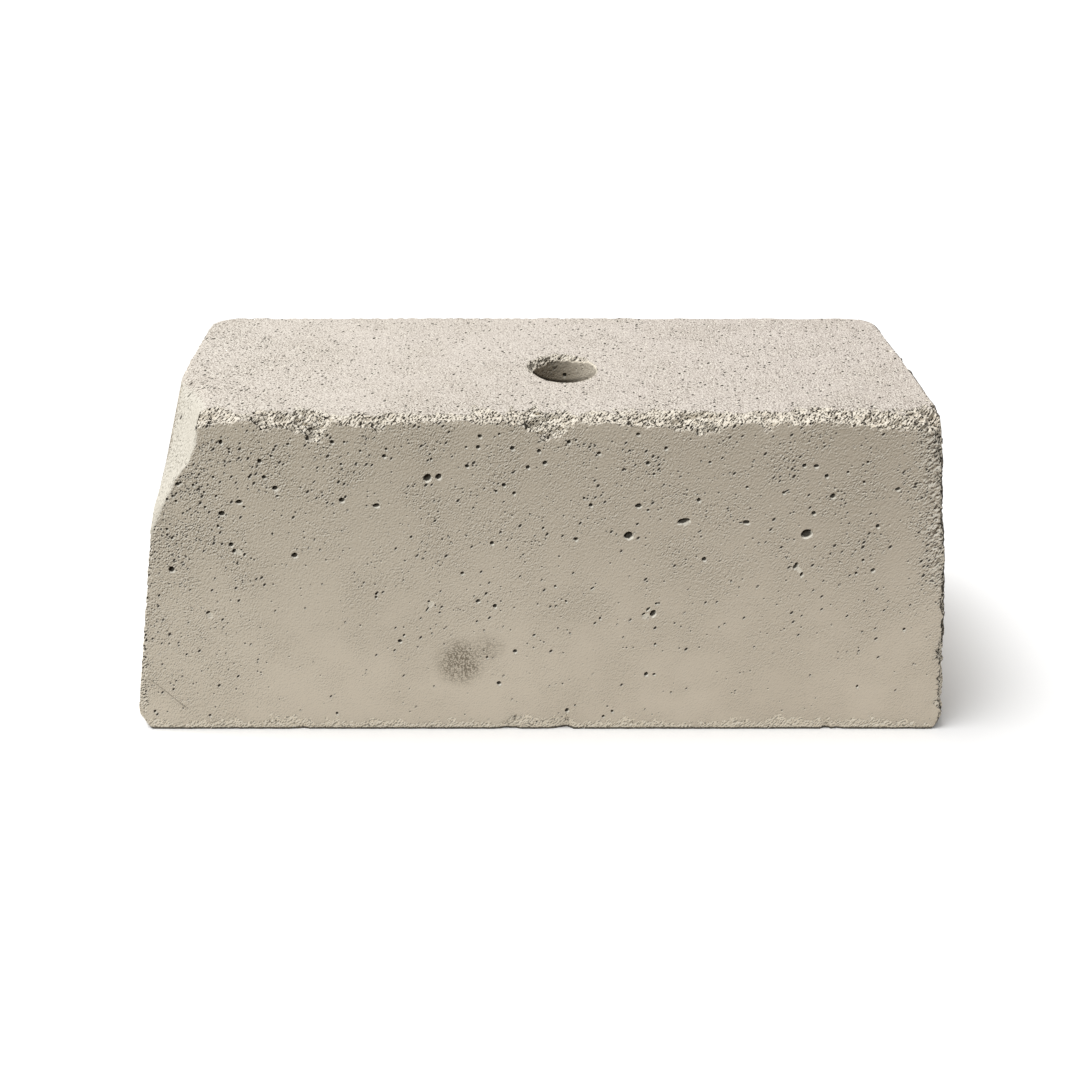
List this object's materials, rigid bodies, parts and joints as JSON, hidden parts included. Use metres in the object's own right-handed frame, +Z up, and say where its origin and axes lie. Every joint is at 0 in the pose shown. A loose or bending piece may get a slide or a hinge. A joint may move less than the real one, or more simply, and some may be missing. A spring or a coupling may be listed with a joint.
{
  "type": "concrete anchor block",
  "caption": "Cast concrete anchor block with leaning sides, worn and chipped edges, a dished break at one upper corner and a rod hole straight through its height.",
  "frame": {"origin": "middle of the base, on the floor", "axes": "+X along the block's length, -Y out of the chipped front face, +Z up along the rod hole"},
  "size_m": [0.4493, 0.1894, 0.178],
  "materials": {
    "concrete": "matt cast concrete, sandy at the worn edges, with small air-bubble pits"
  },
  "bodies": {
    "root": {"anchor_block": "concrete"}
  },
  "joints": []
}
